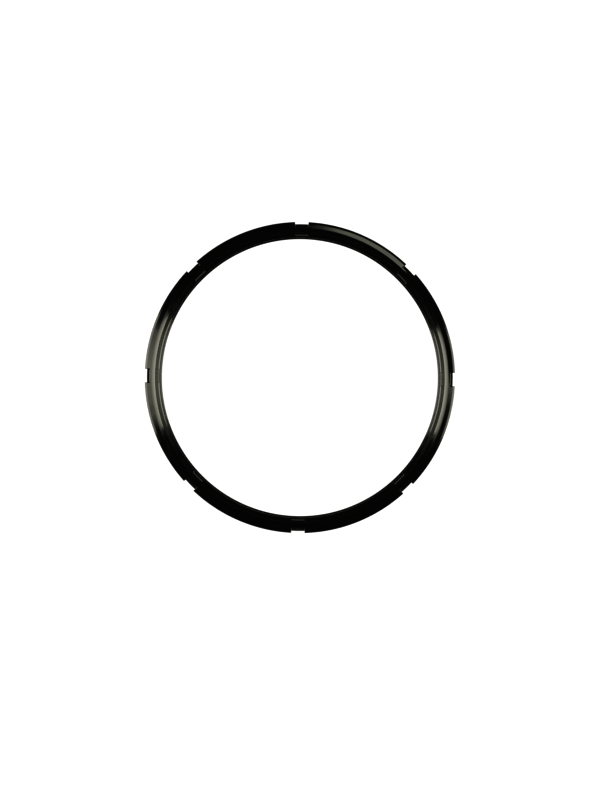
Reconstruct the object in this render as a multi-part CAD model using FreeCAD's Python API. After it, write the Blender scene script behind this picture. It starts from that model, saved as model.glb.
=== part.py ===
"""Lid sealing gasket of a stovetop pressure cooker: one moulded rubber ring, in millimetres.

The ring lies on its flat lower lip. +Z is up, towards the lid, and the origin is at the centre of
the face that it rests on. The section is drawn in the plane of radius and height, with rounded
corners, and turned round Z. A channel opens inwards and a groove opens outwards, under the top
flange. Eight notches break the flange into free stretches, and the first lies on +X.
"""
import FreeCAD, Part
import math
import os
from FreeCAD import Vector

# Overall sizes
seal_diameter = 235.0        # over the flange
ring_width = 12.45           # flange's tip to the end of the lower lip
seal_height = 10.0           # resting face to crest, before the crest's edge is rounded

# Top flange, the part that the notches cut
flange_width = 4.4           # tip to the foot of the ramp
flange_thickness = 1.8       # at the tip
flange_overhang = 1.45       # how far the tip stands out of the body's wall
flange_fall = 4.0            # degrees that the top falls outwards
crown_width = 1.3            # the band along the tip that curves down
crown_slope = 14.0           # degrees at the outer edge of the crown
crown_round = 4.0
tip_top_round = 0.25
tip_under_round = 0.4

# Ramp and crest, the ring that bears on the lid
ramp_width = 3.6             # foot to crest
crest_slope = 27.0           # degrees at the crest
crest_step = 0.55            # drop from the crest to the land inside it
crest_round = 0.12

# Upper lip, whose raised rim stands inside the land
rim_flat = 0.5               # level top of the rim, at the lip's end
rim_slope_width = 0.95
rim_slope = 17.0             # degrees that the rim rises from the land
rim_foot_round = 1.0
rim_top_round = 0.6
lip_setback = 0.7            # how far the lower lip reaches past the upper one
lip_edge_round = 0.12
lip_under_round = 0.5
lip_thickness = 2.5          # at the end, from the land down

# Groove under the flange, which opens outwards
groove_depth = 1.75          # in from the body's wall
groove_height = 1.4
groove_round = 0.35
groove_edge_round = 0.3      # where the groove's floor meets the body's wall

# Steam channel, which opens inwards
web = 2.0                    # rubber between the channel and the groove
roof_fall = 6.0              # degrees that the roof falls outwards
channel_back_height = 3.0
channel_round = 1.2

# Lower lip, which bears on the pot's rim
tip_thickness = 2.1
tip_upper_round = 0.4
tip_lower_round = 0.8
heel_round = 1.2             # outer bottom corner of the body

# Notches through the flange
notch_count = 8
notch_width = 10.3
notch_reach = 3.6            # radial depth, from the flange's tip
notch_below_groove = 0.3     # how far the notch goes down into the body
notch_corner_round = 0.5

# Gate pads, low blocks on the lip in line with the notches
pad_width = 10.3             # along the lip
pad_land_share = 0.22        # how much of the land's width each pad covers
pad_rise = 0.15              # above the land, at its outer edge
pad_wall_slope = 36.0        # degrees of its outer wall
pad_round = 0.08
pad_drop = 0.04              # how far its top starts under the rim's top
pad_root = 0.5               # how deep it is rooted in the lip

CUT_CLEAR = 1.0              # cutters run this far past the surfaces that they cut
ROUND_FIT = 0.98             # the most of a side that its two rounds may take together

outer_radius = seal_diameter / 2
inner_radius = outer_radius - ring_width
body_radius = outer_radius - flange_overhang
lip_radius = inner_radius + lip_setback
rim_radius = lip_radius + rim_flat
rim_foot_radius = rim_radius + rim_slope_width
crest_radius = outer_radius - flange_width - ramp_width
land_width = crest_radius - rim_foot_radius
groove_radius = body_radius - groove_depth
channel_radius = groove_radius - web


def slope(angle):
    """Rise over run of a line at this many degrees."""
    return math.tan(math.radians(angle))


def ramp_round():
    """Radius of the arc that is level with the flange at its foot and steepest at the crest."""
    foot, top = math.radians(flange_fall), math.radians(crest_slope)
    return ramp_width / (math.sin(top) - math.sin(foot))


def ramp_corner():
    """Where the flange's top line and the crest's tangent meet, as radius and height."""
    turn = math.radians(crest_slope - flange_fall)
    side = ramp_round() * math.tan(turn / 2)
    top = math.radians(crest_slope)
    return (crest_radius + side * math.cos(top), seal_height - side * math.sin(top))


def crown_foot():
    """Where the flange's top line meets the crown, as radius and height."""
    corner_radius, corner_height = ramp_corner()
    radius = outer_radius - crown_width
    return (radius, corner_height - (radius - corner_radius) * slope(flange_fall))


def flange_tip_height():
    """Height of the flange's top at its tip, before the corner is rounded."""
    return crown_foot()[1] - crown_width * slope(crown_slope)


def flange_underside():
    return flange_tip_height() - flange_thickness


def groove_floor():
    return flange_underside() - groove_height


def land_height():
    """Height of the land where it meets the lip's rim, its highest line."""
    return seal_height - crest_step + land_width * slope(flange_fall) / 2


def rim_height():
    return land_height() + rim_slope_width * slope(rim_slope)


def flange_corners():
    """The flange and the ramp, from the underside of the tip to the crest."""
    crown_radius, crown_height = crown_foot()
    ramp_radius, ramp_height = ramp_corner()
    return [
        (outer_radius, flange_underside(), tip_under_round),
        (outer_radius, flange_tip_height(), tip_top_round),
        (crown_radius, crown_height, crown_round),
        (ramp_radius, ramp_height, ramp_round()),
        (crest_radius, seal_height, crest_round),
    ]


def upper_lip_corners():
    """The land, and the upper lip with its raised rim."""
    return [
        (crest_radius, land_height() - land_width * slope(flange_fall), crest_round),
        (rim_foot_radius, land_height(), rim_foot_round),
        (rim_radius, rim_height(), rim_top_round),
        (lip_radius, rim_height(), lip_edge_round),
        (lip_radius, land_height() - lip_thickness, lip_under_round),
    ]


def channel_corners():
    """The channel's roof, back and floor, and the end of the lower lip."""
    roof = land_height() - lip_thickness - (channel_radius - lip_radius) * slope(roof_fall)
    return [
        (channel_radius, roof, channel_round),
        (channel_radius, roof - channel_back_height, channel_round),
        (inner_radius, tip_thickness, tip_upper_round),
        (inner_radius, 0, tip_lower_round),
    ]


def body_corners():
    """The heel, the outer wall and the groove, up to the flange."""
    return [
        (body_radius, 0, heel_round),
        (body_radius, groove_floor(), groove_edge_round),
        (groove_radius, groove_floor(), groove_round),
        (groove_radius, flange_underside(), groove_round),
    ]


def reaches(corners):
    """How far each corner's round reaches along its sides, less where two rounds don't fit."""
    wanted, lengths = [], []
    for number, (point, round_) in enumerate(corners):
        before = corners[number - 1][0] - point
        after = corners[(number + 1) % len(corners)][0] - point
        wanted.append(round_ / math.tan(before.getAngle(after) / 2))
        lengths.append(after.Length)
    fits = []
    for side, first, second in zip(lengths, wanted, wanted[1:] + wanted[:1]):
        fits.append(ROUND_FIT * side / max(first + second, ROUND_FIT * side))
    return [reach * min(fits[number - 1], fits[number]) for number, reach in enumerate(wanted)]


def rounded_face(corners):
    """A face from its corners, each a point and the radius of its round, or 0 for a sharp one."""
    edges, starts, ends = [], [], []
    for number, ((point, _), reach) in enumerate(zip(corners, reaches(corners))):
        before = corners[number - 1][0] - point
        after = corners[(number + 1) % len(corners)][0] - point
        half = before.getAngle(after) / 2
        radius = reach * math.tan(half)
        before.normalize()
        after.normalize()
        start, end = point + before * reach, point + after * reach
        if radius > 0:
            inward = (before + after).normalize()
            middle = point + inward * (radius / math.sin(half) - radius)
            edges.append(Part.Arc(start, middle, end).toShape())
        starts.append(start)
        ends.append(end)
    for start, end in zip(starts[1:] + starts[:1], ends):
        edges.append(Part.LineSegment(end, start).toShape())
    return Part.Face(Part.Wire(Part.__sortEdges__(edges)))


def turned(section):
    """The solid that a section of radius, height and round makes when it is turned round Z."""
    corners = [(Vector(radius, 0, height), round_) for radius, height, round_ in section]
    return rounded_face(corners).revolve(Vector(0, 0, 0), Vector(0, 0, 1), 360)


def ring():
    """The ring without its notches."""
    return turned(flange_corners() + upper_lip_corners() + channel_corners() + body_corners())


def notch_cutter():
    """The block that cuts the notch on +X, with its inner corners rounded."""
    floor = groove_floor() - notch_below_groove
    back, front, side = outer_radius - notch_reach, outer_radius + CUT_CLEAR, notch_width / 2
    outline = rounded_face([
        (Vector(back, side, floor), notch_corner_round),
        (Vector(back, -side, floor), notch_corner_round),
        (Vector(front, -side, floor), 0),
        (Vector(front, side, floor), 0),
    ])
    return outline.extrude(Vector(0, 0, seal_height - floor + CUT_CLEAR))


def gate_pad():
    """The low block on the lip in line with the notch on +X, rooted in the lip."""
    reach = land_width * pad_land_share
    outer = rim_foot_radius + reach
    foot = land_height() - reach * slope(flange_fall)
    shoulder = outer - pad_rise / slope(pad_wall_slope)
    low = foot - pad_root
    band = turned([
        (outer, foot, 0),
        (shoulder, foot + pad_rise, pad_round),
        (rim_radius, rim_height() - pad_drop, 0),
        (rim_radius, low, 0),
        (outer, low, 0),
    ])
    across = Part.makeBox(
        outer_radius, pad_width, seal_height, Vector(0, -pad_width / 2, 0)
    )
    return band.common(across)


def round_the_ring(shape):
    """Copies of a shape, one at each notch."""
    copies = []
    for number in range(notch_count):
        copy = shape.copy()
        copy.rotate(Vector(0, 0, 0), Vector(0, 0, 1), 360 * number / notch_count)
        copies.append(copy)
    return copies


def gasket():
    """The whole ring as one solid."""
    padded = ring().fuse(round_the_ring(gate_pad()))
    notched = padded.cut(round_the_ring(notch_cutter()))
    return notched.removeSplitter().Solids[0]


os.makedirs("parts", exist_ok=True)
solid = gasket()
solid.exportStep("parts/sealing_gasket.step")
print("sealing_gasket", solid.isValid(), round(solid.Volume, 1), solid.BoundBox)
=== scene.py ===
"""Looks of the lid sealing gasket of a stovetop pressure cooker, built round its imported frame.

The gasket is one ring of moulded black rubber. Its section, a closed outline of radius and height,
is carried round Z. Between the notches the section has a flange, in the notches it has none, and
the walls of each notch join the two. Lengths are in metres, as in the frame.
"""
import math
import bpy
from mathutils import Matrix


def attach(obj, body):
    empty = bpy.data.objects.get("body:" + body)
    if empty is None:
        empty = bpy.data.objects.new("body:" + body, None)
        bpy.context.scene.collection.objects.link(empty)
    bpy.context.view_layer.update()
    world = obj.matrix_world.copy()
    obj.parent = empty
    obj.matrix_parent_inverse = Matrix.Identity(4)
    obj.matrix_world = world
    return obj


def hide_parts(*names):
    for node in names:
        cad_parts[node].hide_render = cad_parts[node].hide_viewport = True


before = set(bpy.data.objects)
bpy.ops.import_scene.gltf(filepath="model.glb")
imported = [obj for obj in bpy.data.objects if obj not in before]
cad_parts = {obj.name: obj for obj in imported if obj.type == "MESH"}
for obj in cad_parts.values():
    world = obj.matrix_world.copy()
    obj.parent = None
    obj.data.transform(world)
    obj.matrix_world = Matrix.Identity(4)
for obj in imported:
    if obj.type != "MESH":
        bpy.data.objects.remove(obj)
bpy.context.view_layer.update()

from types import SimpleNamespace

import bpy
import numpy as np

CAD_NODE = "sealing_gasket"
MM = 0.001

bl_info = {
    "name": "Pressure Cooker Gasket",
    "version": (1, 0, 0),
    "blender": (4, 5, 0),
    "location": "3D View > Sidebar > Gasket",
    "description": "Builds a notched lid gasket of moulded rubber and a pale studio stage",
    "category": "Add Mesh",
}


def linear(hex_colour):
    """Linear red, green, blue and alpha of an sRGB hex colour."""
    encoded = np.array([int(hex_colour[i:i + 2], 16) / 255 for i in (1, 3, 5)])
    straight = np.where(encoded <= 0.04045, encoded / 12.92, ((encoded + 0.055) / 1.055) ** 2.4)
    return (*straight.tolist(), 1.0)


def length(name, description, millimetres):
    """A length that a user can change, kept in metres."""
    return bpy.props.FloatProperty(
        name=name, description=description, default=millimetres * MM, unit="LENGTH", precision=5
    )


def angle(name, description, degrees):
    """An angle that a user can change, kept in radians."""
    return bpy.props.FloatProperty(
        name=name, description=description, default=math.radians(degrees), unit="ROTATION"
    )


def colour(name, description, hex_colour):
    """A colour that a user can change, kept linear."""
    return bpy.props.FloatVectorProperty(
        name=name, description=description, default=linear(hex_colour), size=4,
        min=0, max=1, subtype="COLOR",
    )


def amount(name, description, value):
    """A plain number that a user can change."""
    return bpy.props.FloatProperty(name=name, description=description, default=value, precision=4)


# ------------------------------------------------------------------ sizes and colours

class GasketSizes(bpy.types.PropertyGroup):
    """The gasket's section and its notches."""

    outer_diameter: length("Diameter", "Over the flange", 235.0)
    ring_width: length("Ring width", "Flange's tip to the end of the lower lip", 12.45)
    height: length("Height", "Resting face to crest", 10.0)

    flange_width: length("Flange width", "Tip to the foot of the ramp", 4.4)
    flange_thickness: length("Flange thickness", "At the tip", 1.8)
    flange_overhang: length("Overhang", "Tip of the flange to the body's wall", 1.45)
    flange_fall: angle("Flange fall", "Slope of the flange's top", 4.0)
    crown_width: length("Crown width", "Band along the tip that curves down", 1.3)
    crown_slope: angle("Crown slope", "Slope at the outer edge of the crown", 14.0)
    crown_round: length("Crown round", "Radius of the crown's inner edge", 4.0)
    tip_top_round: length("Tip's upper round", "Radius of the tip's upper edge", 0.25)
    tip_under_round: length("Tip's lower round", "Radius of the tip's lower edge", 0.4)

    ramp_width: length("Ramp width", "Foot to crest", 3.6)
    crest_slope: angle("Crest slope", "Slope of the ramp at the crest", 27.0)
    crest_step: length("Crest step", "Drop from the crest to the land", 0.55)
    crest_round: length("Crest round", "Radius of the crest's edge", 0.12)

    rim_flat: length("Rim flat", "Level top of the upper lip's rim", 0.5)
    rim_slope_width: length("Rim slope width", "Width of the rim's outer slope", 0.95)
    rim_slope: angle("Rim slope", "Slope from the land up to the rim", 17.0)
    rim_foot_round: length("Rim foot round", "Radius where the rim meets the land", 1.0)
    rim_top_round: length("Rim top round", "Radius of the rim's outer edge", 0.6)
    lip_setback: length("Lip setback", "Lower lip's end past the upper lip's", 0.7)
    lip_edge_round: length("Lip edge round", "Radius of the upper lip's upper edge", 0.12)
    lip_under_round: length("Lip under round", "Radius of the upper lip's lower edge", 0.5)
    lip_thickness: length("Lip thickness", "Upper lip at its end, from the land down", 2.5)

    groove_depth: length("Groove depth", "In from the body's wall", 1.75)
    groove_height: length("Groove height", "Gap under the flange", 1.4)
    groove_round: length("Groove round", "Radius of the groove's inner corners", 0.35)
    groove_edge_round: length("Groove edge round", "Radius of the body's upper edge", 0.3)

    web: length("Web", "Rubber between the channel and the groove", 2.0)
    roof_fall: angle("Roof fall", "Slope of the channel's roof", 6.0)
    channel_back_height: length("Channel height", "At the channel's back", 3.0)
    channel_round: length("Channel round", "Radius of the channel's inner corners", 1.2)

    tip_thickness: length("Lower lip thickness", "At the end of the lower lip", 2.1)
    tip_upper_round: length("Lower lip's upper round", "Radius of its upper edge", 0.4)
    tip_lower_round: length("Lower lip's lower round", "Radius of its lower edge", 0.8)
    heel_round: length("Heel round", "Radius of the body's outer bottom edge", 1.2)

    notch_count: bpy.props.IntProperty(
        name="Notches", description="Notches round the ring", default=8
    )
    notch_width: length("Notch width", "Between the notch's walls", 10.3)
    notch_reach: length("Notch reach", "Depth in from the flange's tip", 3.6)
    notch_below_groove: length("Notch drop", "How far it cuts into the body", 0.3)
    notch_corner_round: length("Notch corner round", "Radius of its inner corner", 0.5)
    notch_edge_round: length("Notch edge round", "Radius of its outer edges", 0.2)
    notch_wall_round: length("Notch wall round", "Radius where its walls meet its back", 0.4)

    pad_share: amount("Pad share", "How much of the land's width a gate pad covers", 0.22)
    pad_rise: length("Pad rise", "Height of a gate pad at its outer edge", 0.15)
    pad_slope: angle("Pad wall slope", "Slope of a gate pad's walls", 36.0)
    pad_drop: length("Pad drop", "How far a pad starts under the rim's top", 0.04)


class GasketForm(bpy.types.PropertyGroup):
    """How far the soft ring is from its mould's exact shape."""

    hinge: length("Flange hinge", "Distance of the flange's bend from its tip", 5.1)
    hinge_blend: length("Hinge blend", "Width over which the flange starts to bend", 0.25)
    out_of_round: length("Out of round", "How far it is drawn in along X and out along Y", 0.16)
    sway: length("Sway", "Slow drift of the edge in and out", 0.05)
    twist: angle("Twist", "How far the section leans one way and the other", 0.5)


class GasketColours(bpy.types.PropertyGroup):
    """Colours and finish of the rubber, with a painted highlight along each pad."""

    rubber: colour("Rubber", "Carbon black rubber", "#020202")
    bloom: colour("Bloom", "Where wax has come to the surface", "#050504")
    gloss_roughness: amount("Gloss roughness", "Where the mould was polished", 0.095)
    land_roughness: amount("Land roughness", "Inside the crest, left from the tool", 0.12)
    # Painted highlight: the paler grey put along each pad's outer edge to stand in for a highlight,
    # and the roughness of that band
    painted_highlight_colour: colour("Painted highlight band", "Trimmed rubber, paler than the moulded face", "#3a3a3a")
    highlight_band_roughness: amount("Painted highlight band roughness", "Where the gates were trimmed", 0.5)


class StageSizes(bpy.types.PropertyGroup):
    """The floor, the lights and the camera."""

    floor_radius: length("Floor radius", "Flat part of the floor", 2600.0)
    cove_radius: length("Cove radius", "Curve from the floor up to the wall", 500.0)
    wall_height: length("Wall height", "Top of the wall round the floor", 1100.0)
    floor_colour: colour("Floor", "Opal acrylic of a light table", "#595959")
    floor_glow: amount("Floor glow", "Light that comes up through the opal sheet", 0.92)
    lamp_colour: colour("Lamps", "Warm white of the soft boxes", "#fffff0")
    box_distance: length("Soft box distance", "From the axis", 800.0)
    box_foot: length("Soft box foot", "Height of its lower edge", 330.0)
    box_height: length("Soft box height", "Lower edge to upper edge", 3400.0)
    left_box_low: length("Left soft box, low Y", "Its edge along Y", -290.0)
    left_box_high: length("Left soft box, high Y", "Its edge along Y", 364.0)
    left_box_power: amount("Left soft box power", "In watts", 85.3)
    right_box_low: length("Right soft box, low Y", "Its edge along Y", -310.0)
    right_box_high: length("Right soft box, high Y", "Its edge along Y", 297.0)
    right_box_power: amount("Right soft box power", "In watts", 79.4)
    overhead_size: length("Overhead lamp", "Its diameter", 300.0)
    overhead_x: length("Overhead lamp X", "Off the axis", -12.0)
    overhead_y: length("Overhead lamp Y", "Off the axis", -30.0)
    overhead_height: length("Overhead lamp height", "Above the floor", 1750.0)
    overhead_power: amount("Overhead power", "In watts", 1.45)
    room_light: amount("Room light", "Even light from all round, above the wall", 0.25)
    camera_height: length("Camera height", "Above the floor", 1689.5)
    camera_x: length("Camera X", "Off the axis", 0.33)
    camera_y: length("Camera Y", "Off the axis", -16.96)
    camera_turn: angle("Camera turn", "About its own axis", 0.74)
    camera_lens: amount("Lens", "Focal length in millimetres", 100.0)
    camera_sensor: amount("Sensor", "Its width in millimetres", 36.0)
    camera_reach: length("Camera reach", "Furthest thing that it shows", 100000.0)
    print_gamma: amount("Print gamma", "Under 1 for the deep blacks of a catalogue print", 0.5)


# ------------------------------------------------------------------ the section

STRAIGHT = 10.0       # a corner that hardly turns spreads its points over a tenth of its round
ROUND_FIT = 0.98      # the most of a side that its two rounds may take together
KNOT = 2.0            # round, in millimetres, of a knot on a straight side
SIDE_PLACES = (0.1, 0.9)    # where each straight side has points, near the arcs at its ends
COMMON_ARC = 7        # points along each arc of the part that notches don't change
EXPOSED_ARC = 6       # points along each arc of the flange, and of the notch in its place
NOTCH_KNOTS = 4       # knots up the notch's back, one for each corner that the flange has more
FADE_SHARE = 0.1      # how much of the exposed part fades in, and out, at its ends


def levels(size):
    """Radii and heights that follow from the sizes, in metres, as the frame's part has them."""
    at = SimpleNamespace()
    at.outer = size.outer_diameter / 2
    at.inner = at.outer - size.ring_width
    at.body = at.outer - size.flange_overhang
    at.lip = at.inner + size.lip_setback
    at.rim = at.lip + size.rim_flat
    at.rim_foot = at.rim + size.rim_slope_width
    at.crest = at.outer - size.flange_width - size.ramp_width
    at.land_width = at.crest - at.rim_foot
    at.groove = at.body - size.groove_depth
    at.channel = at.groove - size.web
    at.fall = math.tan(size.flange_fall)

    at.ramp_round = size.ramp_width / (math.sin(size.crest_slope) - math.sin(size.flange_fall))
    side = at.ramp_round * math.tan((size.crest_slope - size.flange_fall) / 2)
    at.ramp = at.crest + side * math.cos(size.crest_slope)
    at.ramp_z = size.height - side * math.sin(size.crest_slope)
    at.crown = at.outer - size.crown_width
    at.crown_z = at.ramp_z - (at.crown - at.ramp) * at.fall
    at.tip_z = at.crown_z - size.crown_width * math.tan(size.crown_slope)
    at.under_z = at.tip_z - size.flange_thickness
    at.groove_z = at.under_z - size.groove_height
    at.land_z = size.height - size.crest_step + at.land_width * at.fall / 2
    at.rim_z = at.land_z + size.rim_slope_width * math.tan(size.rim_slope)
    at.roof_z = at.land_z - size.lip_thickness - (at.channel - at.lip) * math.tan(size.roof_fall)

    at.back = at.outer - size.notch_reach
    at.back_z = at.ramp_z - (at.back - at.ramp) * at.fall
    at.notch_z = at.groove_z - size.notch_below_groove
    at.pad = at.rim_foot + size.pad_share * at.land_width
    at.pad_z = at.land_z - size.pad_share * at.land_width * at.fall
    return at


def rounded(corners, arc_points):
    """Points along an open path with rounded corners.

    Each corner is a radius, a height and a round. Its arc is the rational quadratic curve between
    the two points where the round touches the corner's sides, drawn towards the corner with a
    weight that is the sine of half the corner's angle, which makes it a true circle's arc. The
    straight sides between the arcs get points at SIDE_PLACES, so that shading stays flat there.
    """
    rows = np.asarray(corners, dtype=float)
    ends, point, wanted = rows[:, :2], rows[1:-1, :2], rows[1:-1, 2]
    before, after = ends[:-2] - point, ends[2:] - point
    long_before = np.linalg.norm(before, axis=1)
    long_after = np.linalg.norm(after, axis=1)
    before, after = before / long_before[:, None], after / long_after[:, None]
    half = np.arccos(np.clip((before * after).sum(axis=1), -1, 1)) / 2
    reach = np.pad(wanted / np.minimum(np.tan(half), STRAIGHT), 1)
    room = ROUND_FIT * np.append(long_before, long_after[-1])
    fit = room / np.maximum(reach[:-1] + reach[1:], room)
    reach = reach[1:-1] * np.minimum(fit[:-1], fit[1:])
    start, end = point + before * reach[:, None], point + after * reach[:, None]

    t = np.linspace(0, 1, arc_points)[None, :, None]
    weight = np.sin(half)[:, None, None]
    near, middle, far = (1 - t) ** 2, 2 * weight * t * (1 - t), t ** 2
    arcs = near * start[:, None] + middle * point[:, None] + far * end[:, None]
    arcs = arcs / (near + middle + far)

    side_start = np.vstack([ends[:1], end])
    side_end = np.vstack([start, ends[-1:]])
    along = np.array(SIDE_PLACES)[None, :, None]
    sides = side_start[:, None] * (1 - along) + side_end[:, None] * along
    blocks = np.concatenate([sides[:-1], arcs], axis=1).reshape(-1, 2)
    return np.vstack([ends[:1], blocks, sides[-1], ends[-1:]])


def common_path(size, at):
    """The part of the section that notches don't change: over the crest, the lips and the heel."""
    knot = KNOT * MM
    edge = size.notch_edge_round
    step_z = at.land_z - at.land_width * at.fall
    wall_r = at.pad - size.pad_rise / math.tan(size.pad_slope) / 2
    wall_z = at.land_z - (wall_r - at.rim_foot) * at.fall
    return rounded([
        (at.back - edge, at.back_z + edge * at.fall, 0),
        (at.ramp, at.ramp_z, at.ramp_round),
        (at.crest, size.height, size.crest_round),
        (at.crest, step_z, size.crest_round),
        (wall_r, wall_z, knot),
        (at.rim_foot, at.land_z, size.rim_foot_round),
        (at.rim, at.rim_z, size.rim_top_round),
        (at.lip, at.rim_z, size.lip_edge_round),
        (at.lip, at.land_z - size.lip_thickness, size.lip_under_round),
        (at.channel, at.roof_z, size.channel_round),
        (at.channel, at.roof_z - size.channel_back_height, size.channel_round),
        (at.inner, size.tip_thickness, size.tip_upper_round),
        (at.inner, 0, size.tip_lower_round),
        (at.body, 0, size.heel_round),
        (at.body, at.notch_z - edge, 0),
    ], COMMON_ARC)


def flange_path(size, at):
    """The groove and the flange, from the body's wall round to the flange's top."""
    knot = KNOT * MM
    edge = size.notch_edge_round
    return rounded([
        (at.body, at.notch_z - edge, 0),
        (at.body, at.groove_z, size.groove_edge_round),
        (at.groove, at.groove_z, size.groove_round),
        (at.groove, at.under_z, size.groove_round),
        (at.outer, at.under_z, size.tip_under_round),
        (at.outer, at.tip_z, size.tip_top_round),
        (at.crown, at.crown_z, size.crown_round),
        (at.back, at.back_z, knot),
        (at.back - edge, at.back_z + edge * at.fall, 0),
    ], EXPOSED_ARC)


def notch_path(size, at):
    """The notch's floor and back, with as many points as the flange that it cuts away."""
    knot = KNOT * MM
    edge = size.notch_edge_round
    knots = at.under_z + (at.back_z - at.under_z) * np.arange(NOTCH_KNOTS) / NOTCH_KNOTS
    return rounded([
        (at.body, at.notch_z - edge, 0),
        (at.body, at.notch_z, edge),
        (at.back, at.notch_z, size.notch_corner_round),
        *((at.back, knot_z, knot) for knot_z in knots),
        (at.back, at.back_z, edge),
        (at.back - edge, at.back_z + edge * at.fall, 0),
    ], EXPOSED_ARC)


def outward(section):
    """Unit normals of a closed outline that runs anticlockwise: its tangent turned right."""
    tangent = np.roll(section, -1, axis=0) - np.roll(section, 1, axis=0)
    normal = np.stack([tangent[:, 1], -tangent[:, 0]], axis=1)
    return normal / np.linalg.norm(normal, axis=1)[:, None]


def smooth(value, low, high):
    """0 below low, 1 above high and a cubic between, level at both ends."""
    t = np.clip((value - low) / (high - low), 0, 1)
    return t * t * (3 - 2 * t)


# ------------------------------------------------------------------ stations round the ring

NOTCH_STATIONS = (0.0, 1.3, 2.5, 3.6)             # mm from the notch's middle
ROUND_STATIONS = (1.0, 0.62, 0.32, 0.1, 0.0)      # shares of a round, away from the notch's wall
WALL_STATIONS = (0.67, 0.33)                      # how much of the notch's section is left
FLANGE_STATIONS = (0.7, 1.5, 2.7)                 # mm from the notch's wall
FREE_STATIONS = 17                                # from there to the middle of the flange
STRAIGHT_LIMIT = 8.0                              # mm: inside this, stations are parallel lines
RADIAL_LIMIT = 30.0                               # mm: outside this, they point at the axis


def stations(size, at):
    """Rows for the stations of one pitch: offset from the notch's middle, how much of the notch's
    section is used, how far the flange's edge is drawn in, and how far the notch's corner is
    filled. Both follow a circle's arc: the round less the root of (2 round t - t squared)."""
    half = size.notch_width / 2
    shares = np.array(ROUND_STATIONS)
    arc = 1 - np.sqrt(2 * shares - shares ** 2)
    wall, edge = size.notch_wall_round, size.notch_edge_round
    middle = math.pi * at.outer / size.notch_count

    notch = np.array(NOTCH_STATIONS) * MM
    flange = half + np.array(FLANGE_STATIONS) * MM
    free = np.linspace(flange[-1], middle, FREE_STATIONS)[1:]
    left = np.array(WALL_STATIONS)
    offset = np.concatenate([
        notch, half - wall * shares, half + 0 * left, half + edge * shares[::-1], flange, free,
    ])
    notched = np.concatenate([
        1 + 0 * notch, 1 + 0 * shares, left, 0 * shares, 0 * flange, 0 * free,
    ])
    drawn = np.concatenate([
        0 * notch, 0 * shares, 0 * left + edge, edge * arc[::-1], 0 * flange, 0 * free,
    ])
    filled = np.concatenate([
        0 * notch, wall * arc, 0 * left + wall, 0 * shares, 0 * flange, 0 * free,
    ])
    one_side = np.stack([offset, notched, drawn, filled], axis=1)
    other_side = one_side[-2:0:-1] * np.array([-1, 1, 1, 1])
    return np.vstack([other_side, one_side])


def bearing(offset, radius, outer):
    """Angle of each point from its notch's middle. Near the notch, stations are lines parallel to
    its axis, at the arcsine of offset over radius; further away they point at the ring's axis."""
    limits = (STRAIGHT_LIMIT * MM, RADIAL_LIMIT * MM)
    radial = smooth(np.abs(offset), *limits)
    straight = np.arcsin(np.clip(offset / radius, -1, 1))
    return straight * (1 - radial) + offset / outer * radial


# Lean of each stretch of flange, in degrees up from its moulded fall: at its start, middle and end,
# anticlockwise from +X
FLANGE_LEAN = (
    (3.8, 3.6, 3.0),
    (8.4, 8.0, 5.6),
    (0.5, 0.0, 0.4),
    (1.8, 1.3, -3.2),
    (-1.5, 1.2, 0.8),
    (0.2, 0.0, 0.0),
    (0.3, 0.0, 0.6),
    (1.5, 2.0, 0.2),
)

# Slow drifts round the ring: how many waves, share of the whole, and phase in radians
DRIFTS = ((3, 0.5, 0.7), (5, 0.3, 2.1), (8, 0.2, 4.4))
SWAY_PHASE = 1.0      # radians from the twist's drift to the edge's


def lean_at(around, size):
    """Lean of the flange at each angle, read off straight lines between its table's values."""
    pitch = 2 * math.pi / size.notch_count
    margin = size.notch_width / size.outer_diameter
    first = np.arange(size.notch_count)[:, None] * pitch
    knots = first + np.array([margin, pitch / 2, pitch - margin])
    lean = np.radians(np.array(FLANGE_LEAN))
    return np.interp(around, knots.ravel(), lean.ravel(), period=2 * math.pi)


def drift(around):
    """A sum of sines round the ring, between about -1 and 1."""
    waves, share, phase = np.array(DRIFTS).T
    return (np.sin(around[..., None] * waves + phase) * share).sum(axis=-1)


def bent(around, radius, height, size, form, at):
    """The ring's mould shape, bent as soft rubber lies.

    The flange rises past its hinge by the distance from it times the tangent of its lean. The
    section leans by the twist, more the higher it is, so that its foot stays flat. The whole ring
    is drawn in along X and out along Y, and drifts slowly in and out.
    """
    past = radius - (at.outer - form.hinge)
    past = (past + np.sqrt(past ** 2 + form.hinge_blend ** 2)) / 2
    free = smooth(height, at.groove_z, at.under_z)
    rise = np.tan(lean_at(around, size)) * past * free
    middle = (at.outer + at.inner) / 2
    twist = math.tan(form.twist) * drift(around) * (radius - middle) * height / size.height
    push = form.sway * drift(around + SWAY_PHASE) - form.out_of_round * np.cos(2 * around)
    return radius + push, height + rise + twist


def padded(along, radius, height, size, at):
    """Height of the top with the gate pads on it.

    A pad is a slab whose top runs from just under the rim's top to its own outer edge, with walls
    that fall at the pad's slope. It is the least of the top, the outer wall and the end walls.
    """
    steep = math.tan(size.pad_slope)
    shoulder = at.pad - size.pad_rise / steep
    start_z = at.rim_z - size.pad_drop
    end_z = at.pad_z + size.pad_rise
    top = start_z + (end_z - start_z) * (radius - at.rim) / (shoulder - at.rim)
    outer_wall = at.pad_z + (at.pad - radius) * steep
    end_wall = height + (size.notch_width / 2 - np.abs(along)) * steep
    pad = np.minimum(np.minimum(top, outer_wall), end_wall)
    on_top = (radius > at.rim) & (radius < at.crest) & (height > at.land_z - size.crest_step)
    return np.where(on_top, np.maximum(height, pad), height)


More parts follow.
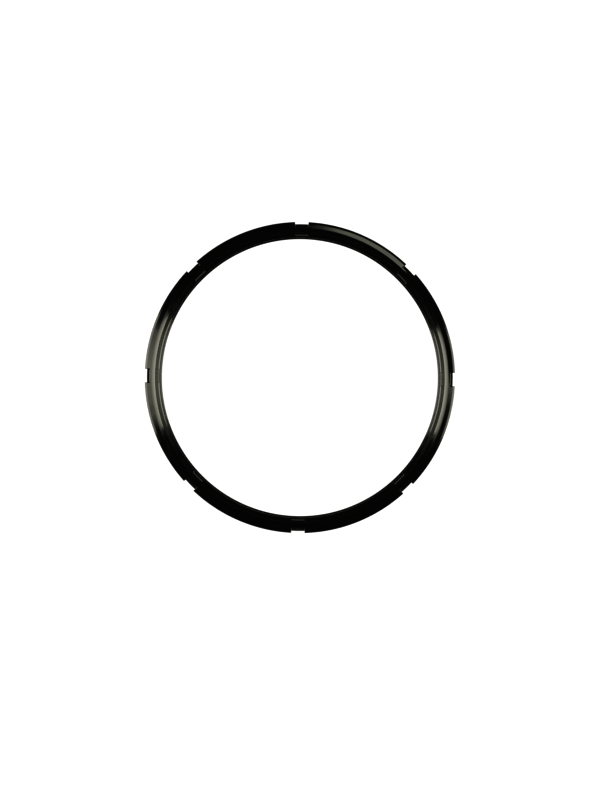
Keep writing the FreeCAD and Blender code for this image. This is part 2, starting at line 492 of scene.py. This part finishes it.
def ring_surface(size, form):
    """Points of the whole ring, a grid of stations by section points.

    Each station's section is the flange's and the notch's, mixed. Its part between the body's wall
    and the flange's top is moved along its normals, in where an edge is rounded and out where a
    corner is filled, and fades to nothing at both ends of that part.
    """
    at = levels(size)
    if at.land_width <= 0 or at.channel <= at.lip:
        raise ValueError("these sizes leave no room for the land or the channel")
    common = common_path(size, at)
    whole = np.vstack([common[:-1], flange_path(size, at)[:-1]])
    cut = np.vstack([common[:-1], notch_path(size, at)[:-1]])
    exposed = len(whole) - len(common) + 1
    place = np.arange(len(whole)) - len(common) + 1
    share = np.clip(place / exposed, 0, 1)
    fade = (smooth(share, 0, FADE_SHARE) * smooth(1 - share, 0, FADE_SHARE))[None, :, None]

    offset, notched, drawn, filled = stations(size, at).T[:, :, None, None]
    drawn_in = outward(whole)[None] * drawn * (1 - notched)
    filled_out = outward(cut)[None] * filled * notched
    section = whole[None] * (1 - notched) + cut[None] * notched
    section = section + (filled_out - drawn_in) * fade
    radius, height = section[..., 0], section[..., 1]

    turn = bearing(offset[..., 0], radius, at.outer)
    along = radius * np.sin(turn)
    height = padded(along, radius, height, size, at)

    pitch = 2 * math.pi / size.notch_count
    first = (np.arange(size.notch_count) * pitch)[:, None, None]
    around = (turn[None] + first).reshape(-1, radius.shape[1])
    radius = np.tile(radius, (size.notch_count, 1))
    height = np.tile(height, (size.notch_count, 1))
    radius, height = bent(around, radius, height, size, form, at)
    return np.stack([radius * np.cos(around), radius * np.sin(around), height], axis=-1)


def grid_faces(rows, columns, close_columns=True):
    """Quads of a grid whose rows close on themselves, and whose columns do too if asked."""
    row = np.arange(rows)[:, None]
    column = np.arange(columns if close_columns else columns - 1)[None, :]
    next_row, next_column = (row + 1) % rows, (column + 1) % columns
    quads = [row * columns + column, next_row * columns + column,
             next_row * columns + next_column, row * columns + next_column]
    return np.stack(np.broadcast_arrays(*quads), axis=-1).reshape(-1, 4)


def mesh_object(name, points, faces):
    """A smooth-shaded object at the origin, made of points and faces."""
    mesh = bpy.data.meshes.new(name)
    mesh.from_pydata(points.reshape(-1, 3).tolist(), [], faces.tolist())
    if mesh.validate():
        raise ValueError(name + " has faulty faces")
    mesh.shade_smooth()
    piece = bpy.data.objects.new(name, mesh)
    bpy.context.scene.collection.objects.link(piece)
    return piece


# ------------------------------------------------------------------ materials

BAND_EDGE = 0.3       # mm over which a band of the material fades
HIGHLIGHT_BAND_INSIDE = 0.6     # mm that the painted highlight band reaches in from its pad's outer edge
HIGHLIGHT_BAND_OUTSIDE = 0.5    # mm that the painted highlight band reaches out from there
MARK_PITCH = 0.4      # mm between turning marks: the real ones are finer, and these show
MARK_DEPTH = 0.01     # mm
GRAIN_PITCH = 0.6     # mm between grains of the mould's face: the real one is finer
GRAIN_DEPTH = 0.008   # mm
RELIEF = 0.25         # strength of both reliefs
WAX_PATCH = 9.0       # mm across a patch of wax
RUBBER_IOR = 1.52


def add(tree, kind, values=None, links=None, **fields):
    """Add a node to a tree, set its fields and the values of its inputs, and link the others."""
    node = tree.nodes.new(kind)
    for field, value in fields.items():
        setattr(node, field, value)
    for socket, value in (values or {}).items():
        node.inputs[socket].default_value = value
    for socket, source in (links or {}).items():
        tree.links.new(source, node.inputs[socket])
    return node


def empty_tree(owner):
    """The cleared node tree of a material, a light or a world."""
    owner.use_nodes = True
    owner.node_tree.nodes.clear()
    return owner.node_tree


def band(tree, value, low, high):
    """A socket that is 1 between two values and falls to 0 at them, over BAND_EDGE."""
    edge = BAND_EDGE * MM
    rises = add(tree, "ShaderNodeMapRange", {1: low, 2: low + edge}, {0: value})
    falls = add(tree, "ShaderNodeMapRange", {1: high, 2: high - edge}, {0: value})
    both = add(tree, "ShaderNodeMath", links={0: rises.outputs[0], 1: falls.outputs[0]},
               operation="MULTIPLY")
    return both.outputs[0]


def moulded_rubber(size, colours):
    """Carbon black rubber pressed in a steel mould.

    It is nearly black, with the gloss of the polished mould. Its land is a little duller. The
    tool's turning marks run round it, wax that comes to the surface greys it in patches, and a
    paler, matt band along each pad's outer edge is a painted highlight.
    """
    at = levels(size)
    material = bpy.data.materials.new("moulded_black_rubber")
    tree = empty_tree(material)
    place = add(tree, "ShaderNodeTexCoord").outputs["Object"]

    # Distance from the axis, which the turned mould's marks follow
    flat = add(tree, "ShaderNodeMapping", {"Scale": (1, 1, 0)}, {"Vector": place})
    reach = add(tree, "ShaderNodeVectorMath", links={0: flat.outputs["Vector"]},
                operation="LENGTH")
    radius = reach.outputs["Value"]

    # The land, between the rim and the crest
    land = band(tree, radius, at.rim_foot, at.crest)

    # Painted highlight: a paler, matt band along the outer edge of each pad
    parts = add(tree, "ShaderNodeSeparateXYZ", links={0: place})
    around = add(tree, "ShaderNodeMath", links={0: parts.outputs["Y"], 1: parts.outputs["X"]},
                 operation="ARCTAN2")
    half_pitch = math.pi / size.notch_count
    folded = add(tree, "ShaderNodeMath", {1: half_pitch, 2: -half_pitch},
                 {0: around.outputs[0]}, operation="WRAP")
    along = add(tree, "ShaderNodeMath", links={0: folded.outputs[0], 1: radius},
                operation="MULTIPLY")
    half = size.notch_width / 2
    ends = band(tree, along.outputs[0], -half, half)
    sides = band(tree, radius, at.pad - HIGHLIGHT_BAND_INSIDE * MM, at.pad + HIGHLIGHT_BAND_OUTSIDE * MM)
    gate = add(tree, "ShaderNodeMath", links={0: ends, 1: sides}, operation="MULTIPLY")

    # Turning marks, the mould's grain and the patches of wax
    marks = add(tree, "ShaderNodeTexNoise", {"Scale": 1 / (MARK_PITCH * MM), "Detail": 1.0},
                {"W": radius}, noise_dimensions="1D")
    grain = add(tree, "ShaderNodeTexNoise", {"Scale": 1 / (GRAIN_PITCH * MM), "Detail": 2.0},
                {"Vector": place})
    patches = add(tree, "ShaderNodeTexNoise", {"Scale": 1 / (WAX_PATCH * MM), "Detail": 4.0},
                  {"Vector": place})

    waxed = add(tree, "ShaderNodeMix", {6: colours.rubber, 7: colours.bloom},
                {0: patches.outputs[0]}, data_type="RGBA")
    base_rough = add(tree, "ShaderNodeMapRange",
                     {3: colours.gloss_roughness, 4: colours.land_roughness}, {0: land})
    # Wax makes the gloss uneven, by 0.02 less to 0.03 more
    uneven = add(tree, "ShaderNodeMapRange", {1: 0.35, 2: 0.65, 3: -0.02, 4: 0.03},
                 {0: patches.outputs[0]})
    rough = add(tree, "ShaderNodeMath", links={0: base_rough.outputs[0], 1: uneven.outputs[0]},
                operation="ADD")
    # Mixes the painted highlight's paler grey into the base colour along each pad's outer edge
    painted_highlight_mix = add(tree, "ShaderNodeMix", {7: colours.painted_highlight_colour},
                 {0: gate.outputs[0], 6: waxed.outputs[2]}, data_type="RGBA")
    highlight_band_rough = add(tree, "ShaderNodeMix", {3: colours.highlight_band_roughness},
                       {0: gate.outputs[0], 2: rough.outputs[0]}, data_type="FLOAT")
    turned = add(tree, "ShaderNodeBump", {"Strength": RELIEF, "Distance": MARK_DEPTH * MM},
                 {"Height": marks.outputs[0]})
    grained = add(tree, "ShaderNodeBump", {"Strength": RELIEF, "Distance": GRAIN_DEPTH * MM},
                  {"Height": grain.outputs[0], "Normal": turned.outputs[0]})
    shader = add(tree, "ShaderNodeBsdfPrincipled", {"IOR": RUBBER_IOR, "Metallic": 0.0}, {
        "Base Color": painted_highlight_mix.outputs[2],
        "Roughness": highlight_band_rough.outputs[0],
        "Normal": grained.outputs[0],
    })
    add(tree, "ShaderNodeOutputMaterial", links={"Surface": shader.outputs[0]})
    return material


def opal_acrylic(stage):
    """Opal acrylic sheet of a light table: a pale matt white that glows evenly from below."""
    material = bpy.data.materials.new("opal_acrylic")
    tree = empty_tree(material)
    shader = add(tree, "ShaderNodeBsdfPrincipled", {
        "Base Color": stage.floor_colour,
        "Roughness": 0.9,
        "Specular IOR Level": 0.0,
        "Emission Color": (1, 1, 1, 1),
        "Emission Strength": stage.floor_glow,
    })
    add(tree, "ShaderNodeOutputMaterial", links={"Surface": shader.outputs[0]})
    return material


# ------------------------------------------------------------------ the stage

FLOOR_RINGS = (200.0, 600.0, 1200.0, 2000.0)    # mm, the flat floor's points from the axis
COVE_POINTS = 13
STAGE_SIDES = 96

# Brightness of a soft box up its height and across its width: place and grey
BOX_RISE = ((0.0, 1.0), (0.05, 0.985), (0.124, 0.9), (0.197, 0.801), (0.344, 0.654),
            (0.491, 0.548), (0.635, 0.475), (0.776, 0.44), (1.0, 0.4))
BOX_MIDDLE = ((0.0, 0.843), (0.25, 0.969), (0.5, 1.0), (0.75, 0.969), (1.0, 0.843))


def stage_surface(stage):
    """Floor, cove and wall as one turned surface: its profile runs along the floor, a quarter
    circle and the wall, and is carried round Z."""
    bend = np.linspace(0, math.pi / 2, COVE_POINTS)
    flat = np.array(FLOOR_RINGS) * MM
    profile = np.concatenate([
        np.stack([flat, 0 * flat], axis=1),
        np.stack([stage.floor_radius + stage.cove_radius * np.sin(bend),
                  stage.cove_radius * (1 - np.cos(bend))], axis=1),
        [[stage.floor_radius + stage.cove_radius, stage.wall_height]],
    ])
    around = np.linspace(0, 2 * math.pi, STAGE_SIDES + 1)[:-1, None]
    radius, height = profile[None, :, 0], profile[None, :, 1]
    across, along = radius * np.cos(around), radius * np.sin(around)
    return np.stack([across, along, height + 0 * around], axis=-1)


def stage_floor(stage):
    """The floor, its cove and its wall, with a fan of triangles closing the middle."""
    grid = stage_surface(stage)
    rows, columns = grid.shape[:2]
    quads = grid_faces(rows, columns, close_columns=False)[:, ::-1]
    first = np.arange(rows) * columns
    centre = np.full(rows, rows * columns)
    fan = np.stack([centre, first, np.roll(first, -1)], axis=1)
    mesh = bpy.data.meshes.new("studio_floor")
    points = np.vstack([grid.reshape(-1, 3), [[0, 0, 0]]])
    mesh.from_pydata(points.tolist(), [], quads.tolist() + fan.tolist())
    mesh.shade_smooth()
    floor = bpy.data.objects.new("studio_floor", mesh)
    bpy.context.scene.collection.objects.link(floor)
    floor.data.materials.append(opal_acrylic(stage))


def soft_box(name, stage, side, low, high, power):
    """A tall soft box, brightest at its foot, where its lamp is, and at its middle line.

    Side is -1 on the left and 1 on the right; low and high are its edges along Y.
    """
    light = bpy.data.lights.new(name, "AREA")
    light.shape = "RECTANGLE"
    light.size, light.size_y = high - low, stage.box_height
    light.energy = power
    tree = empty_tree(light)
    place = add(tree, "ShaderNodeNewGeometry").outputs["Parametric"]
    across = add(tree, "ShaderNodeSeparateXYZ", links={0: place})
    rise = add(tree, "ShaderNodeValToRGB", links={0: across.outputs[1]})
    set_ramp(rise, BOX_RISE)
    middle = add(tree, "ShaderNodeValToRGB", links={0: across.outputs[0]})
    set_ramp(middle, BOX_MIDDLE)
    strength = add(tree, "ShaderNodeMath", links={0: rise.outputs[0], 1: middle.outputs[0]},
                   operation="MULTIPLY")
    glow = add(tree, "ShaderNodeEmission", {"Color": stage.lamp_colour},
               {"Strength": strength.outputs[0]})
    add(tree, "ShaderNodeOutputLight", links={0: glow.outputs[0]})
    box = bpy.data.objects.new(name, light)
    box.location = (side * stage.box_distance, (low + high) / 2,
                    stage.box_foot + stage.box_height / 2)
    box.rotation_euler = (math.pi / 2, 0, side * math.pi / 2)
    box.visible_camera = False
    bpy.context.scene.collection.objects.link(box)


def set_ramp(node, stops):
    """Fill a colour ramp with greys."""
    elements = node.color_ramp.elements
    while len(elements) < len(stops):
        elements.new(0.5)
    for element, (place, grey) in zip(elements, stops):
        element.position = place
        element.color = (grey, grey, grey, 1)


def overhead_lamp(stage):
    """A small round lamp beside the camera."""
    light = bpy.data.lights.new("overhead_lamp", "AREA")
    light.shape = "DISK"
    light.size = stage.overhead_size
    light.energy = stage.overhead_power
    light.color = stage.lamp_colour[:3]
    lamp = bpy.data.objects.new("overhead_lamp", light)
    lamp.location = (stage.overhead_x, stage.overhead_y, stage.overhead_height)
    lamp.visible_camera = False
    bpy.context.scene.collection.objects.link(lamp)


def top_camera(stage):
    """The camera, which looks straight down."""
    data = bpy.data.cameras.new("top_camera")
    data.lens = stage.camera_lens
    data.sensor_width = stage.camera_sensor
    data.clip_end = stage.camera_reach
    camera = bpy.data.objects.new("top_camera", data)
    camera.location = (stage.camera_x, stage.camera_y, stage.camera_height)
    camera.rotation_euler = (0, 0, stage.camera_turn)
    bpy.context.scene.collection.objects.link(camera)
    bpy.context.scene.camera = camera


def dim_world(stage):
    """An even, dim room above the wall, which keeps the unlit rubber just off black."""
    world = bpy.data.worlds.new("dim_studio")
    bpy.context.scene.world = world
    tree = empty_tree(world)
    sky = add(tree, "ShaderNodeBackground", {"Color": (1, 1, 1, 1), "Strength": stage.room_light})
    add(tree, "ShaderNodeOutputWorld", links={0: sky.outputs[0]})


# ------------------------------------------------------------------ operators and panel

class GASKET_OT_ring(bpy.types.Operator):
    """Build the rubber ring in place of the frame's plain one."""

    bl_idname = "gasket.ring"
    bl_label = "Build the ring"

    def execute(self, context):
        scene = context.scene
        points = ring_surface(scene.gasket_sizes, scene.gasket_form)
        ring = mesh_object("gasket_ring", points, grid_faces(*points.shape[:2]))
        ring.data.materials.append(moulded_rubber(scene.gasket_sizes, scene.gasket_colours))
        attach(ring, "root")
        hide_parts(CAD_NODE)
        return {"FINISHED"}


class GASKET_OT_stage(bpy.types.Operator):
    """Build the pale floor, the soft lights and the camera."""

    bl_idname = "gasket.stage"
    bl_label = "Build the stage"

    def execute(self, context):
        stage = context.scene.gasket_stage
        stage_floor(stage)
        soft_box("left_soft_box", stage, -1,
                 stage.left_box_low, stage.left_box_high, stage.left_box_power)
        soft_box("right_soft_box", stage, 1,
                 stage.right_box_low, stage.right_box_high, stage.right_box_power)
        overhead_lamp(stage)
        dim_world(stage)
        top_camera(stage)
        context.scene.view_settings.view_transform = "Standard"
        context.scene.view_settings.gamma = stage.print_gamma
        return {"FINISHED"}


class GASKET_PT_panel(bpy.types.Panel):
    """Lists what the add-on builds."""

    bl_idname = "GASKET_PT_panel"
    bl_label = "Gasket"
    bl_space_type = "VIEW_3D"
    bl_region_type = "UI"
    bl_category = "Gasket"

    def draw(self, context):
        for operator in OPERATORS:
            self.layout.operator(operator.bl_idname)


GROUPS = (
    ("gasket_sizes", GasketSizes),
    ("gasket_form", GasketForm),
    ("gasket_colours", GasketColours),
    ("gasket_stage", StageSizes),
)
OPERATORS = (GASKET_OT_ring, GASKET_OT_stage)


def register():
    for name, group in GROUPS:
        bpy.utils.register_class(group)
        setattr(bpy.types.Scene, name, bpy.props.PointerProperty(type=group))
    for kind in (*OPERATORS, GASKET_PT_panel):
        bpy.utils.register_class(kind)


def unregister():
    for kind in (GASKET_PT_panel, *reversed(OPERATORS)):
        bpy.utils.unregister_class(kind)
    for name, group in reversed(GROUPS):
        delattr(bpy.types.Scene, name)
        bpy.utils.unregister_class(group)


def main():
    """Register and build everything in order."""
    register()
    bpy.ops.gasket.ring()
    bpy.ops.gasket.stage()


if __name__ == "__main__":
    main()
